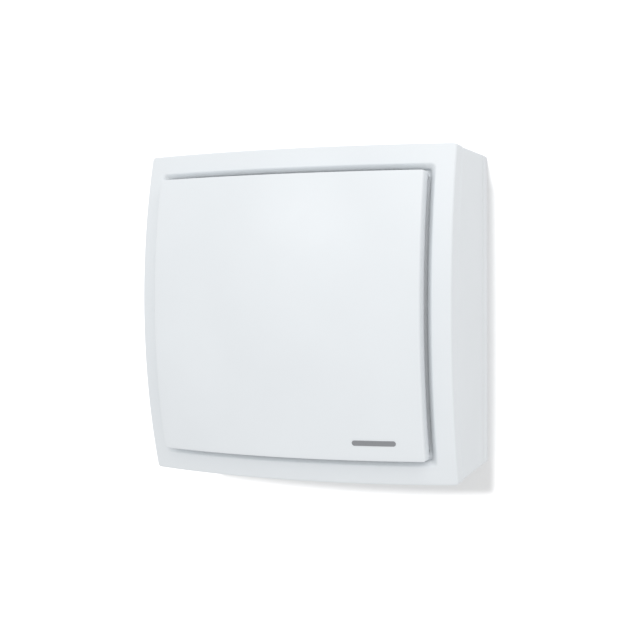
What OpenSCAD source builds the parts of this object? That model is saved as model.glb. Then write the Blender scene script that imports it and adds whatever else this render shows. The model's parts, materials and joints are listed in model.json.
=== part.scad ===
// Square wall-mounted room ventilation unit with heat recovery.
// Origin: centre of the back face, on the wall plane. +X to the viewer's
// right, +Y into the wall, +Z up. All sizes in millimetres.

/* [Casing] */
// Width and height of the square casing
case_w = 410; // [408:1:414]
// Depth of the casing at its corners, from the wall
corner_d = 165; // [164:1:170]
// Radius of the sphere that the domed front is part of
dome_r = 710; // [700:5:760]
// Depth of the front cover's skirt along the casing's sides
skirt_d = 27; // [24:1:30]
// Wall thickness of the casing mouldings
wall_t = 2.5; // [2.2:0.1:2.8]
// Depth of the mounting tray, from the wall to its seam
tray_d = 20; // [19:1:22]

/* [Front panel] */
// Width of the removable front panel
panel_w = 348; // [344:1:350]
// Height of the removable front panel
panel_h = 344; // [340:1:346]
// How far the panel stands proud of the cover's dome
panel_proud = 18; // [14:1:20]
// Wall thickness of the panel
panel_t = 3; // [2.5:0.1:3.5]
// Depth of the cover's recess behind its dome
recess_d = 12; // [10:1:13]
// Gap between the panel and the wall of the recess, on all four sides
panel_gap = 2; // [2:0.1:3]
// Width of the 45 degree slope that opens this gap into an air slot
slope_w = 7; // [6:0.5:8]

/* [Ducts] */
// Outside radius of a duct spigot, for a DN 100 wall sleeve
spigot_r = 49; // [48:0.1:49.2]
// Distance of each duct's axis from the centre line
duct_x = 110; // [108:1:112]
// Depth of the ducts' axes below the centre
duct_z = 110; // [108:1:112]
// Length of a spigot behind the wall plane
spigot_l = 46; // [40:1:50]
// Thickness of a shut-off flap
flap_t = 2; // [1.6:0.1:2.4]

/* [Fans] */
// Distance of the fans' axes from the centre line
fan_x = 128; // [127:1:130]
// Distance of the fans' axes above and below the centre
fan_z = 105; // [104:1:107]
// Outside radius of an impeller
impeller_r = 52; // [48:1:53]
// Number of blades on an impeller
blades = 11; // [7:1:13]

/* [Heat exchanger] */
// Number of plates in the exchanger
plates = 26; // [16:1:28]
// Thickness of an exchanger plate
plate_t = 0.8; // [0.6:0.1:1.2]

/* [Hidden] */

white = [0.93, 0.94, 0.95];
c2 = case_w / 2;
h2 = c2 - 1;                        // housing, 1 mm inside the cover
// centre of the dome's sphere
yc = -corner_d + sqrt(dome_r * dome_r - 2 * c2 * c2);
rw = panel_w / 2 + panel_gap;       // recess half width
rh = panel_h / 2 + panel_gap;       // recess half height
// depth of the dome's surface, moved back by b, at a place on the front
function dome_y(x, z, b = 0) = yc + b - sqrt(dome_r * dome_r - x * x - z * z);
foam = 198;                         // half width of the insulation
y_foam_back = -5;
y_foam_split = -84;
y_foam_front = -150;
y_ped = -178;                       // pedestal that carries the electronics
hx_y0 = -138;                       // exchanger, front end
hx_y1 = -28;                        // exchanger, back end
post = [168, 163];                  // cover posts
corners = [[-1, -1], [1, -1], [-1, 1], [1, 1]];
e = 0.02;

module bx(x0, x1, y0, y1, z0, z1)
    translate([x0, y0, z0]) cube([x1 - x0, y1 - y0, z1 - z0]);
module ycyl(r, y0, y1, x = 0, z = 0)
    translate([x, y0, z]) rotate([-90, 0, 0]) cylinder(r = r, h = y1 - y0, $fn = 72);
// a flat outline in x and z, drawn out from y0 to y1
module yext(y0, y1)
    translate([0, y1, 0]) rotate([90, 0, 0]) linear_extrude(height = y1 - y0) children();
module dome(b)
    translate([0, yc + b, 0]) sphere(r = dome_r, $fn = 300);
// the part of a box hw by hh that lies between two domes
module slab(b0, b1, hw, hh)
    intersection() {
        bx(-hw, hw, -320, -40, -hh, hh);
        difference() { dome(b0); dome(b1); }
    }

// ---------------------------------------------------------------- casing
slot_x = 150;
slot_z = 176;
grommet = [0, 172];

module mounting_tray() color(white) {
    difference() {
        union() {
            bx(-h2, h2, -tray_d + 0.8, 0, -h2, h2);
            // tongue inside the housing
            bx(-h2 + wall_t + 0.2, h2 - wall_t - 0.2, -tray_d - 10, -1, -h2 + wall_t + 0.2, h2 - wall_t - 0.2);
        }
        bx(-h2 + wall_t + 2.7, h2 - wall_t - 2.7, -60, -4, -h2 + wall_t + 2.7, h2 - wall_t - 2.7);
        for (s = [-1, 1]) {
            ycyl(spigot_r + 1.3, -10, 5, s * duct_x, -duct_z);
            ycyl(62, -2, 5, s * duct_x, -duct_z);
            // flange rest
            ycyl(56.2, -10, -3, s * duct_x, -duct_z);
        }
        ycyl(9, -10, 5, grommet[0], grommet[1]);
        // slotted holes for the wall screws
        for (c = corners) translate([c[0] * slot_x, 0, c[1] * slot_z]) {
            bx(-4, 4, -10, 5, -3, 3);
            for (s = [-1, 1]) ycyl(3, -10, 5, s * 4, 0);
        }
        for (c = corners) translate([c[0] * 120, -tray_d - 5, 0]) cylinder(r = 1.7, h = 2 * case_w, center = true, $fn = 32);
    }
}

module wall_gaskets() color("dimgray")
    for (s = [-1, 1]) difference() {
        ycyl(62, -2, -0.05, s * duct_x, -duct_z);
        ycyl(spigot_r + 1.8, -3, 1, s * duct_x, -duct_z);
    }

module cable_grommet() color("black") difference() {
    union() {
        ycyl(9, -4.5, -0.3, grommet[0], grommet[1]);
        ycyl(12, -7, -4, grommet[0], grommet[1]);
    }
    ycyl(4, -8, 1, grommet[0], grommet[1]);
}

module housing_shell() color(white) {
    difference() {
        union() {
            difference() {
                intersection() {
                    bx(-h2, h2, -260, -tray_d, -h2, h2);
                    // shadow gap behind the cover's skirt
                    dome(skirt_d + 0.8);
                }
                bx(-h2 + wall_t, h2 - wall_t, -300, 10, -h2 + wall_t, h2 - wall_t);
            }
            // tongue inside the cover's skirt
            difference() {
                slab(skirt_d - 6, skirt_d + 8, c2 - wall_t - 0.2, c2 - wall_t - 0.2);
                bx(-c2 + wall_t + 2.2, c2 - wall_t - 2.2, -300, 10, -c2 + wall_t + 2.2, c2 - wall_t - 2.2);
            }
            for (c = corners) {
                ycyl(5, -170, -tray_d - 4, c[0] * post[0], c[1] * post[1]);
                // web from the post to the side wall, kept behind the skirt
                mirror([c[0] < 0 ? 1 : 0, 0, 0]) mirror([0, 0, c[1] < 0 ? 1 : 0])
                    bx(post[0], h2 - 1, -130, -tray_d - 12, post[1] - 1.5, post[1] + 1.5);
            }
        }
        for (c = corners) {
            ycyl(1.9, -180, -145, c[0] * post[0], c[1] * post[1]);
            translate([c[0] * 120, -tray_d - 5, 0]) cylinder(r = 2.2, h = 2 * case_w, center = true, $fn = 32);
        }
    }
}

module case_screws() color("silver")
    for (x = [-120, 120], s = [0, 1]) mirror([0, 0, s]) translate([x, -tray_d - 5, 0]) difference() {
        union() {
            translate([0, 0, h2]) cylinder(r = 3.6, h = 0.95, $fn = 48);
            translate([0, 0, foam + 0.4]) cylinder(r = 1.7, h = h2 - foam, $fn = 32);
        }
        translate([-2.4, -0.4, h2 + 0.4]) cube([4.8, 0.8, 2]);
        translate([-0.4, -2.4, h2 + 0.4]) cube([0.8, 4.8, 2]);
    }

// ---------------------------------------------------------------- cover
div_l = -58;                        // divider ribs, left and right
div_r = 36;
button = [-10, 30];
lights = [[-10, 10], [-10, 0], [-10, -10]];
stud = [146, 150];

module window_cut() {
    // supply outlet, left, and filter and extract opening, right
    bx(-166, div_l - 4, -300, -150, -128, 128);
    bx(div_r + 4, 166, -300, -150, -128, 128);
}

// big sphere whose surface falls away at 45 degrees behind the dome, from
// the plane x = a inwards; used on each side of the recess
module slope_ball(a)
    translate([a + 500, yc, 0]) sphere(r = sqrt(dome_r * dome_r - a * a + 500 * 500), $fn = 300);

// skirt, domed frame and the walls of the recess
module front_cover() color(white) difference() {
    union() {
        difference() {
            slab(0, skirt_d, c2, c2);
            slab(3, skirt_d + 20, c2 - wall_t, c2 - wall_t);
        }
        slab(0.5, recess_d + wall_t, rw + 5, rh + 5);
    }
    bx(-rw, rw, -320, -40, -rh, rh);
    // slope all round the panel
    difference() {
        bx(-rw - slope_w, rw + slope_w, -320, -40, -rh - slope_w, rh + slope_w);
        dome(recess_d);
        for (m = [0, 1]) {
            mirror([m, 0, 0]) slope_ball(rw + slope_w);
            mirror([0, 0, m]) rotate([0, -90, 0]) slope_ball(rh + slope_w);
        }
    }
}

// floor of the recess, welded in: windows, slats and divider ribs
module cover_grille() color(white) {
    difference() {
        union() {
            slab(recess_d, recess_d + wall_t, rw, rh);
            // ribs between the two air paths
            for (x = [div_l, div_r]) intersection() {
                bx(x, x + 2, -300, y_foam_front - 0.5, -150, 150);
                dome(recess_d + 1);
            }
            for (c = corners) intersection() {
                ycyl(6, -300, -170, c[0] * post[0], c[1] * post[1]);
                dome(recess_d + 1);
            }
        }
        window_cut();
        for (c = corners) {
            ycyl(2.2, -300, -100, c[0] * post[0], c[1] * post[1]);
            ycyl(4.6, -300, -174, c[0] * post[0], c[1] * post[1]);
            ycyl(6.1, -300, -100, c[0] * stud[0], c[1] * stud[1]);
        }
        ycyl(5.5, -300, -190, button[0], button[1]);
        for (l = lights) ycyl(2.3, -300, -190, l[0], l[1]);
    }
    // slats across the supply outlet
    for (z = [-112 : 16 : 112]) intersection() {
        bx(-170, div_l + 1, -300, -100, z - 1.5, z + 1.5);
        difference() { dome(recess_d + 0.4); dome(recess_d + wall_t - 0.2); }
    }
    for (x = [-131, -96]) intersection() {
        bx(x - 1.5, x + 1.5, -300, -100, -130, 130);
        difference() { dome(recess_d + 0.4); dome(recess_d + wall_t - 0.2); }
    }
}

module cover_screws() color("silver")
    for (c = corners) translate([c[0] * post[0], 0, c[1] * post[1]]) difference() {
        union() {
            ycyl(4, -176.6, -174);
            ycyl(1.9, -174.5, -150);
        }
        bx(-2.6, 2.6, -180, -175.4, -0.45, 0.45);
        bx(-0.45, 0.45, -180, -175.4, -2.6, 2.6);
    }

// foam strip between the panel and the recess floor
module divider_seal() color("dimgray") intersection() {
    bx(-30, -22, -320, -40, -rh + 8, rh - 8);
    difference() { dome(-panel_proud + panel_t + 0.6); dome(recess_d - 0.1); }
}

// ---------------------------------------------------------------- panel
stud_flat = -205;                   // flat end of each boss on the panel

module front_panel() color(white) {
    hw = panel_w / 2;
    hh = panel_h / 2;
    difference() {
        slab(-panel_proud, 3, hw, hh);
        slab(-panel_proud + panel_t, 40, hw - 2.6, hh - 2.6);
    }
    for (c = corners) intersection() {
        ycyl(8, -300, stud_flat, c[0] * stud[0], c[1] * stud[1]);
        dome(-panel_proud + 1.5);
    }
    // stiffening ribs
    for (x = [-90, 90]) intersection() {
        bx(x - 1, x + 1, -320, -40, -hh + 1, hh - 1);
        difference() { dome(-panel_proud + 1); dome(-panel_proud + panel_t + 6); }
    }
}

module panel_studs() color("gainsboro")
    for (c = corners) translate([c[0] * stud[0], 0, c[1] * stud[1]]) {
        ycyl(6.5, stud_flat, stud_flat + 2);
        ycyl(2.6, stud_flat + 1, -188);
        translate([0, -187, 0]) sphere(r = 3.9, $fn = 48);
    }

module panel_sockets() color("gainsboro")
    for (c = corners) translate([c[0] * stud[0], 0, c[1] * stud[1]]) difference() {
        union() {
            ycyl(6, -189.5, -176);
            ycyl(7.6, -176.8, -175);
        }
        ycyl(4.3, -200, -178);
    }

module badge() color("silver") intersection() {
    bx(90, 142, -320, -40, -153, -146.5);
    difference() { dome(-panel_proud - 0.6); dome(-panel_proud); }
}

// ---------------------------------------------------------------- exchanger
function hex(s = 0) = let (k = 1 - s / 80)
    [[120 * k, 0], [40 * k, 80 * k], [-40 * k, 80 * k], [-120 * k, 0], [-40 * k, -80 * k], [40 * k, -80 * k]];

module exchanger_frame() color("lightgray") {
    difference() {
        yext(hx_y0, hx_y1) polygon(hex());
        yext(hx_y0 + 3, hx_y1 - 3) polygon(hex(3));
        // open faces for the four air ports
        for (a = [45, 135, 225, 315])
            rotate([0, a, 0]) translate([84.85, 0, 0]) bx(-9, 9, hx_y0 + 6, hx_y1 - 6, -47, 47);
    }
}

module exchanger_plates() color("white") {
    n = plates;
    pitch = (hx_y1 - hx_y0 - 6) / n;
    for (i = [0 : n - 1]) let (y = hx_y0 + 3 + pitch * (i + 0.5))
        yext(y - plate_t / 2, y + plate_t / 2) polygon(hex(3));
}

module exchanger_seals() color("black")
    for (y = [hx_y0 + 6, hx_y1 - 12]) difference() {
        yext(y, y + 4) polygon([for (p = [for (q = hex(0)) q]) p * 1.016]);
        yext(y - 1, y + 5) polygon(hex(0));
        for (a = [45, 135, 225, 315])
            rotate([0, a, 0]) translate([84.85, 0, 0]) bx(-9, 9, -200, 0, -40, 40);
    }

// ---------------------------------------------------------------- foam body
filt = [90, 50];                    // centre of a filter, right of the exchanger
// cut for a filter cassette; s = 1 above, -1 below
module filter_slot(s, grow, y0, y1)
    translate([filt[0], 0, s * filt[1]]) rotate([0, s * -45, 0])
        bx(-10 - grow, 10 + grow, y0, y1, -54 - grow, 54 + grow);

// inlet chambers on the right; s = 1 above, -1 below
module inlet_chamber(s, y0, y1)
    yext(y0, y1) polygon([[138, s * 17], [184, s * 17], [184, s * 142], [142, s * 142],
        [142, s * 184], [58, s * 184], [58, s * 97]]);
// passage between the exchanger and a fan on the left
module fan_passage(s, y0, y1)
    yext(y0, y1) polygon([[-121, s * 1], [-41, s * 81], [-50, s * 150], [-150, s * 150], [-185, s * 60], [-160, s * 12]]);

module insulation_rear() color([0.25, 0.26, 0.28]) difference() {
    bx(-foam, foam, y_foam_split, y_foam_back, -foam, foam);
    for (c = corners) mirror([c[0] < 0 ? 1 : 0, 0, 0]) mirror([0, 0, c[1] < 0 ? 1 : 0])
        bx(143, 210, -200, 10, 150, 210);
    yext(-200, hx_y1 + 0.5) polygon([for (p = hex(0)) p * 1.018]);
    // supply side: rear passage to the fan's inlet
    fan_passage(1, -100, -30);
    // exhaust side: chamber behind the fan, open to the duct
    ycyl(63.5, -100, -68, -fan_x, -fan_z);
    fan_passage(-1, -100, -72);
    ycyl(58, -70, -28, -duct_x, -duct_z);
    bx(-185, -147, -100, -34, -151, -104);
    for (s = [-1, 1]) {
        ycyl(spigot_r + 1.6, -40, 0, s * duct_x, -duct_z);
        ycyl(57, -9, 0, s * duct_x, -duct_z);
        bx(s * duct_x - 15, s * duct_x + 15, -38, 0, -duct_z - 79, -duct_z - 40);
    }
    // outdoor side
    inlet_chamber(-1, -100, -42);
    bx(duct_x - 49, duct_x + 49, -45, -36, -duct_z - 49, -duct_z + 30);
    // room for the open flap
    ycyl(45.6, -46, -36, duct_x, -duct_z);
    inlet_chamber(1, -100, -30);
    filter_slot(1, 0.6, -200, -29);
    filter_slot(-1, 0.6, -200, -29);
    // cable channel and grommet
    ycyl(14, -40, 0, grommet[0], grommet[1]);
    bx(-8, 8, -200, -30, grommet[1] - 8, grommet[1] + 8);
    // condensate tray and its outlet
    bx(-62, 43, -200, -24, -97, -79);
    bx(-62, -35, -30, -13, -93, -83);
}

module insulation_front() color([0.3, 0.31, 0.33]) difference() {
    union() {
        bx(-foam, foam, y_foam_front, y_foam_split, -foam, foam);
        bx(div_l + 3, div_r - 1, y_ped, y_foam_front, -80, 80);
    }
    for (c = corners) mirror([c[0] < 0 ? 1 : 0, 0, 0]) mirror([0, 0, c[1] < 0 ? 1 : 0])
        bx(143, 210, -200, 10, 150, 210);
    yext(hx_y0 - 0.5, 0) polygon([for (p = hex(0)) p * 1.018]);
    // supply fan and its outlet to the front
    ycyl(63.5, -143, 0, -fan_x, fan_z);
    bx(-186, -147, -200, -90, 60, 151);
    ycyl(12, -147, -140, -fan_x, fan_z);
    // exhaust fan, which stands across the split
    ycyl(63.5, -119, 0, -fan_x, -fan_z);
    bx(-185, -147, -119, 0, -151, -104);
    fan_passage(-1, -138, 0);
    // extract chamber, open to the front
    inlet_chamber(1, -200, 0);
    inlet_chamber(-1, -138, 0);
    filter_slot(1, 0.6, -200, 0);
    filter_slot(-1, 0.6, -200, 0);
    bx(-8, 8, -200, 0, grommet[1] - 8, grommet[1] + 8);
    bx(-62, 43, hx_y0 - 3, 0, -97, -79);
}

// ---------------------------------------------------------------- ducts
flap_y = -21;

module spigot(s) translate([s * duct_x, 0, -duct_z]) difference() {
    union() {
        // the length a wall sleeve slides over
        ycyl(spigot_r, 1, spigot_l);
        ycyl(spigot_r - 0.5, -3, 1.1);
        // collar inside the casing, with the flange
        ycyl(spigot_r + 1, -30, -2.2);
        ycyl(56, -7, -3);
    }
    ycyl(spigot_r - 2, -31, spigot_l + 1);
    // holes for the flap's shaft
    translate([0, flap_y, 0]) cylinder(r = 2.55, h = 200, center = true, $fn = 32);
}
module exhaust_spigot() color("whitesmoke") spigot(-1);
module outdoor_spigot() color("whitesmoke") spigot(1);

module flap(s) translate([s * duct_x, 0, -duct_z]) difference() {
    union() {
        ycyl(45, flap_y - flap_t / 2, flap_y + flap_t / 2);
        intersection() {
            translate([0, flap_y, 0]) cylinder(r = 4.5, h = 84, center = true, $fn = 40);
            ycyl(44, flap_y - 6, flap_y + 6);
        }
    }
    translate([0, flap_y, 0]) cylinder(r = 2.5, h = 200, center = true, $fn = 32);
}
module exhaust_flap() color("gainsboro") flap(-1);
module outdoor_flap() color("gainsboro") flap(1);

module flap_shaft(s) color("silver")
    translate([s * duct_x, flap_y, -duct_z]) translate([0, 0, -62]) cylinder(r = 2.5, h = 111.4, $fn = 32);
module exhaust_flap_shaft() flap_shaft(-1);
module outdoor_flap_shaft() flap_shaft(1);

module flap_seal(s) color("black") translate([s * duct_x, 0, -duct_z]) difference() {
    ycyl(46.6, flap_y - 0.8, flap_y + 0.8);
    ycyl(45, flap_y - 3, flap_y + 3);
    translate([0, flap_y, 0]) cylinder(r = 3.2, h = 200, center = true, $fn = 32);
}
module exhaust_flap_seal() flap_seal(-1);
module outdoor_flap_seal() flap_seal(1);

module flap_actuators() color("steelblue")
    for (s = [-1, 1]) translate([s * duct_x, flap_y, -duct_z]) difference() {
        union() {
            bx(-13, 13, -13, 13, -76, -54);
            for (t = [-1, 1]) bx(t * 8 - 4, t * 8 + 4, 4, 13, -54.5, -50.5);
        }
        translate([0, 0, -66]) cylinder(r = 2.55, h = 40, $fn = 32);
    }

// ---------------------------------------------------------------- fans
// Each fan is drawn with its motor side at y = 0 and its inlet at y = 48.
module place_fan(supply) translate([-fan_x, supply ? -142 : -69, supply ? fan_z : -fan_z])
    mirror([0, supply ? 0 : 1, 0]) children();

module fan_housing(down) {
    s = down ? -1 : 1;
    difference() {
        union() {
            ycyl(62, 0, 48);
            bx(-56, -20, 0, 48, min(0, s * -45), max(0, s * -45));
        }
        difference() {
            union() {
                ycyl(60, 2, 46);
                bx(-54, -22, 2, 46, min(0, s * -60), max(0, s * -60));
            }
        }
        ycyl(40, 44, 50);
        ycyl(10, -1, 3);
        for (a = [45 : 90 : 359]) ycyl(1.6, -1, 3, 16 * cos(a), 16 * sin(a));
    }
}
module supply_fan_housing() color("darkgray") place_fan(true) fan_housing(true);
module exhaust_fan_housing() color("darkgray") place_fan(false) fan_housing(false);

module inlet_ring() translate([0, 43.6, 0]) rotate([-90, 0, 0]) rotate_extrude($fn = 96)
    polygon([[34.5, 0], [36, 0], [36.6, 1.6], [40, 2.4], [40, 4.4], [36, 4.4], [34.5, 2.6]]);
module fan_inlet_rings() color("gray") {
    place_fan(true) inlet_ring();
    place_fan(false) inlet_ring();
}

module fan_motor() difference() {
    union() {
        ycyl(20, 2, 21);
        ycyl(9.8, -0.6, 3);
    }
    ycyl(3.05, -1, 30);
    for (a = [45 : 90 : 359]) ycyl(1.6, 1, 9, 16 * cos(a), 16 * sin(a));
}
module supply_fan_motor() color("dimgray") place_fan(true) fan_motor();
module exhaust_fan_motor() color("dimgray") place_fan(false) fan_motor();

// one backward-curved blade, from radius 24 to the impeller's rim
function blade_mid(t) = let (r = 24 + (impeller_r - 1 - 24) * t, a = 55 * t) [r * cos(a), r * sin(a)];
module blade_2d() polygon(concat(
    [for (i = [0 : 6]) let (p = blade_mid(i / 6), q = atan2(p[1], p[0])) p + 0.7 * [-sin(q + 50), cos(q + 50)]],
    [for (i = [6 : -1 : 0]) let (p = blade_mid(i / 6), q = atan2(p[1], p[0])) p - 0.7 * [-sin(q + 50), cos(q + 50)]]));

module impeller() difference() {
    union() {
        ycyl(impeller_r, 22, 24.2);
        ycyl(9, 22, 34);
        for (i = [0 : blades - 1]) yext(24, 42) rotate(i * 360 / blades) blade_2d();
        difference() { ycyl(impeller_r, 41, 42.8); ycyl(37, 40, 44); }
    }
    ycyl(3, 10, 50);
}
module supply_impeller() color("black") place_fan(true) impeller();
module exhaust_impeller() color("black") place_fan(false) impeller();

module fan_shaft() ycyl(3, -0.4, 36);
module supply_fan_shaft() color("silver") place_fan(true) fan_shaft();
module exhaust_fan_shaft() color("silver") place_fan(false) fan_shaft();

// ---------------------------------------------------------------- filters
f_y0 = -148;
f_y1 = -31;
module filter_frame(s) translate([filt[0], 0, s * filt[1]]) rotate([0, s * -45, 0]) {
    difference() {
        bx(-10, 10, f_y0, f_y1, -54, 54);
        bx(-11, 11, f_y0 + 5, f_y1 - 4, -50, 50);
    }
    // front flange and pull tab
    bx(-14, 14, f_y0 - 5, f_y0 - 2.3, -55.5, 55.5);
    bx(-10, 10, f_y0 - 3, f_y0, -54, 54);
    difference() {
        bx(-1.5, 1.5, f_y0 - 21, f_y0 - 4.9, -16, 16);
        bx(-3, 3, f_y0 - 17, f_y0 - 9, -10, 10);
    }
}
// pleated mat inside the frame
module filter_media(s) translate([filt[0], 0, s * filt[1]]) rotate([0, s * -45, 0]) {
    n = 12;
    p = (f_y1 - f_y0 - 9) / n;
    translate([0, 0, -50]) linear_extrude(height = 100) polygon(concat(
        [for (i = [0 : n]) [i % 2 == 0 ? -8 : 6, f_y0 + 5 + p * i]],
        [for (i = [n : -1 : 0]) [i % 2 == 0 ? -6 : 8, f_y0 + 5 + p * i]]));
}
module extract_filter_frame() color("lightgreen") filter_frame(1);
module extract_filter_media() color("white") filter_media(1);
module outdoor_filter_frame() color("lightblue") filter_frame(-1);
module outdoor_filter_media() color("white") filter_media(-1);

// ---------------------------------------------------------------- condensate
module condensate_tray() color("gray") difference() {
    bx(-61, 42, hx_y0 - 2, hx_y1 + 3, -96, -82.4);
    bx(-59, 40, hx_y0, hx_y1 + 1, -94, -80);
    ycyl(4.1, hx_y1, hx_y1 + 10, -40, -88);
}
module drain_tube() color("lightgray") difference() {
    union() {
        ycyl(4, hx_y1 + 1, -14, -40, -88);
        translate([-47.5, -18, -88]) rotate([0, 90, 0]) cylinder(r = 4, h = 7.5, $fn = 32);
    }
    ycyl(2.6, hx_y1, -18, -40, -88);
    translate([-60, -18, -88]) rotate([0, 90, 0]) cylinder(r = 2.6, h = 20, $fn = 32);
}

// ---------------------------------------------------------------- electronics
eb = [div_l + 5, div_r - 3, -202, y_ped, -76, 76];   // box: x0 x1 y0 y1 z0 z1

module electronics_box() color("dimgray") difference() {
    bx(eb[0], eb[1], eb[2], eb[3], eb[4], eb[5]);
    bx(eb[0] + 2, eb[1] - 2, eb[2] - 1, eb[3] - 2, eb[4] + 2, eb[5] - 2);
    // cable entries
    for (z = [-30, 0, 30]) ycyl(3.5, eb[3] - 5, eb[3] + 1, -40, z);
    bx(-8, 8, eb[2] + 4, eb[3] - 6, eb[5] - 3, eb[5] + 1);
}
module electronics_lid() color("gray") difference() {
    union() {
        bx(eb[0], eb[1], eb[2] - 2, eb[2], eb[4], eb[5]);
        bx(eb[0] + 2.2, eb[1] - 2.2, eb[2] - 0.1, eb[2] + 2, eb[4] + 2.2, eb[5] - 2.2);
    }
    bx(eb[0] + 4, eb[1] - 4, eb[2], eb[2] + 3, eb[4] + 4, eb[5] - 4);
    ycyl(5.4, -210, -190, button[0], button[1]);
    for (l = lights) ycyl(2.2, -210, -190, l[0], l[1]);
    for (x = [eb[0] + 8, eb[1] - 8], z = [eb[4] + 8, eb[5] - 8]) ycyl(1.6, -210, -190, x, z);
}
module lid_screws() color("silver")
    for (x = [eb[0] + 8, eb[1] - 8], z = [eb[4] + 8, eb[5] - 8]) {
        difference() {
            ycyl(3, eb[2] - 3.4, eb[2] - 2, x, z);
            bx(x - 2, x + 2, eb[2] - 4, eb[2] - 2.7, z - 0.35, z + 0.35);
        }
        ycyl(1.5, eb[2] - 2.1, eb[2] + 6, x, z);
    }
module circuit_board() color("darkgreen") difference() {
    bx(eb[0] + 3, eb[1] - 3, -188.6, -187, eb[4] + 15, eb[5] - 3);
    for (x = [eb[0] + 8, eb[1] - 8]) ycyl(1.7, -195, -180, x, eb[5] - 8);
}
module board_components() color("black") {
    // push switch under the button
    bx(button[0] - 3, button[0] + 3, -192.4, -188.6, button[1] - 3, button[1] + 3);
    // capacitors
    for (x = [12, 24]) ycyl(5, -198, -188.6, x, 40);
    // relay, transformer and chip
    bx(-46, -30, -199, -188.6, 36, 60);
    bx(6, 28, -199, -188.6, -10, 18);
    bx(-46, -28, -191, -188.6, -24, -2);
    // connectors
    for (z = [-52, -40]) bx(12, 28, -195, -188.6, z - 4, z + 4);
}
module terminal_block() color("green") difference() {
    bx(-48, 4, -198, -188.6, -58, -44);
    for (i = [0 : 4]) {
        ycyl(2.2, -199, -194, -43 + i * 9.5, -50);
        bx(-45.5 + i * 9.5, -40.5 + i * 9.5, -196, -191, -60, -53.5);
    }
}
module terminal_screws() color("silver")
    for (i = [0 : 4]) difference() {
        ycyl(2, -196.4, -194, -43 + i * 9.5, -50);
        bx(-44.5 + i * 9.5, -41.5 + i * 9.5, -198, -195.6, -50.3, -49.7);
    }
module mode_button() color("white") {
    ycyl(5, -218.5, -197, button[0], button[1]);
    ycyl(7, -201.6, -199.8, button[0], button[1]);
    ycyl(2, -197.5, -193.9, button[0], button[1]);
}
module status_lights() color("lightcyan")
    for (l = lights) ycyl(2, dome_y(l[0], l[1], recess_d) - 0.3, -188.6, l[0], l[1]);

// temperature probe in each inlet chamber, held in a clip on the foam wall
module air_sensors() color("white")
    for (s = [-1, 1]) {
        ycyl(2.5, -80, -54, 179, s * 60);
        ycyl(1, -100, -80, 179, s * 60);
    }
module sensor_clips() color("black")
    for (s = [-1, 1]) difference() {
        bx(175.5, 184, -72, -62, s * 60 - 4, s * 60 + 4);
        ycyl(2.5, -80, -50, 179, s * 60);
    }

mounting_tray();
wall_gaskets();
cable_grommet();
housing_shell();
case_screws();
front_cover();
cover_grille();
cover_screws();
divider_seal();
front_panel();
panel_studs();
panel_sockets();
badge();
insulation_rear();
insulation_front();
exchanger_frame();
exchanger_plates();
exchanger_seals();
exhaust_spigot();
outdoor_spigot();
exhaust_flap();
outdoor_flap();
exhaust_flap_shaft();
outdoor_flap_shaft();
exhaust_flap_seal();
outdoor_flap_seal();
flap_actuators();
supply_fan_housing();
exhaust_fan_housing();
fan_inlet_rings();
supply_fan_motor();
exhaust_fan_motor();
supply_impeller();
exhaust_impeller();
supply_fan_shaft();
exhaust_fan_shaft();
extract_filter_frame();
extract_filter_media();
outdoor_filter_frame();
outdoor_filter_media();
condensate_tray();
drain_tube();
electronics_box();
electronics_lid();
lid_screws();
circuit_board();
board_components();
terminal_block();
terminal_screws();
mode_button();
status_lights();
air_sensors();
sensor_clips();
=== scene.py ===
import json
import math

import bmesh
import bpy
from mathutils import Matrix, Vector

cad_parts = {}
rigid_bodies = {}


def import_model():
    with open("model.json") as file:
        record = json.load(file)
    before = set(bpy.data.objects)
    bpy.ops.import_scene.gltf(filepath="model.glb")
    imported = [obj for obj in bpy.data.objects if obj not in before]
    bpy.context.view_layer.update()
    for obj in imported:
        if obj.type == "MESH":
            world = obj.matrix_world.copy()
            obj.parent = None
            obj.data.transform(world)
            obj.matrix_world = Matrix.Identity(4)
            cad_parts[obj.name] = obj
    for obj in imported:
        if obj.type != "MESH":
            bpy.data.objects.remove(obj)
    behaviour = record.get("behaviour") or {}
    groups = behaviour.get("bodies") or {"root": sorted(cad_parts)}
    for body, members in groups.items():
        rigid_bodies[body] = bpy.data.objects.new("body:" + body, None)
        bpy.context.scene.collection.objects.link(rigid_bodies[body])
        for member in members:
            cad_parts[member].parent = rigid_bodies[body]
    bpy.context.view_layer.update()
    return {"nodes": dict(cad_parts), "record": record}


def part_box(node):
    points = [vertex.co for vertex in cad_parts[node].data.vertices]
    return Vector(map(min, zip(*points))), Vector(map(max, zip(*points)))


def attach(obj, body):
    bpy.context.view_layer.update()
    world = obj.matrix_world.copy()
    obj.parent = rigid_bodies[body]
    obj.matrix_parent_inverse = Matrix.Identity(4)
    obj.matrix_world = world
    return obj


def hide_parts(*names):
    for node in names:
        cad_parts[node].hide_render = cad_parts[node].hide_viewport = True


for o in list(bpy.data.objects):
    bpy.data.objects.remove(o)
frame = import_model()
scene = bpy.context.scene
NODES = frame["nodes"]

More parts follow.
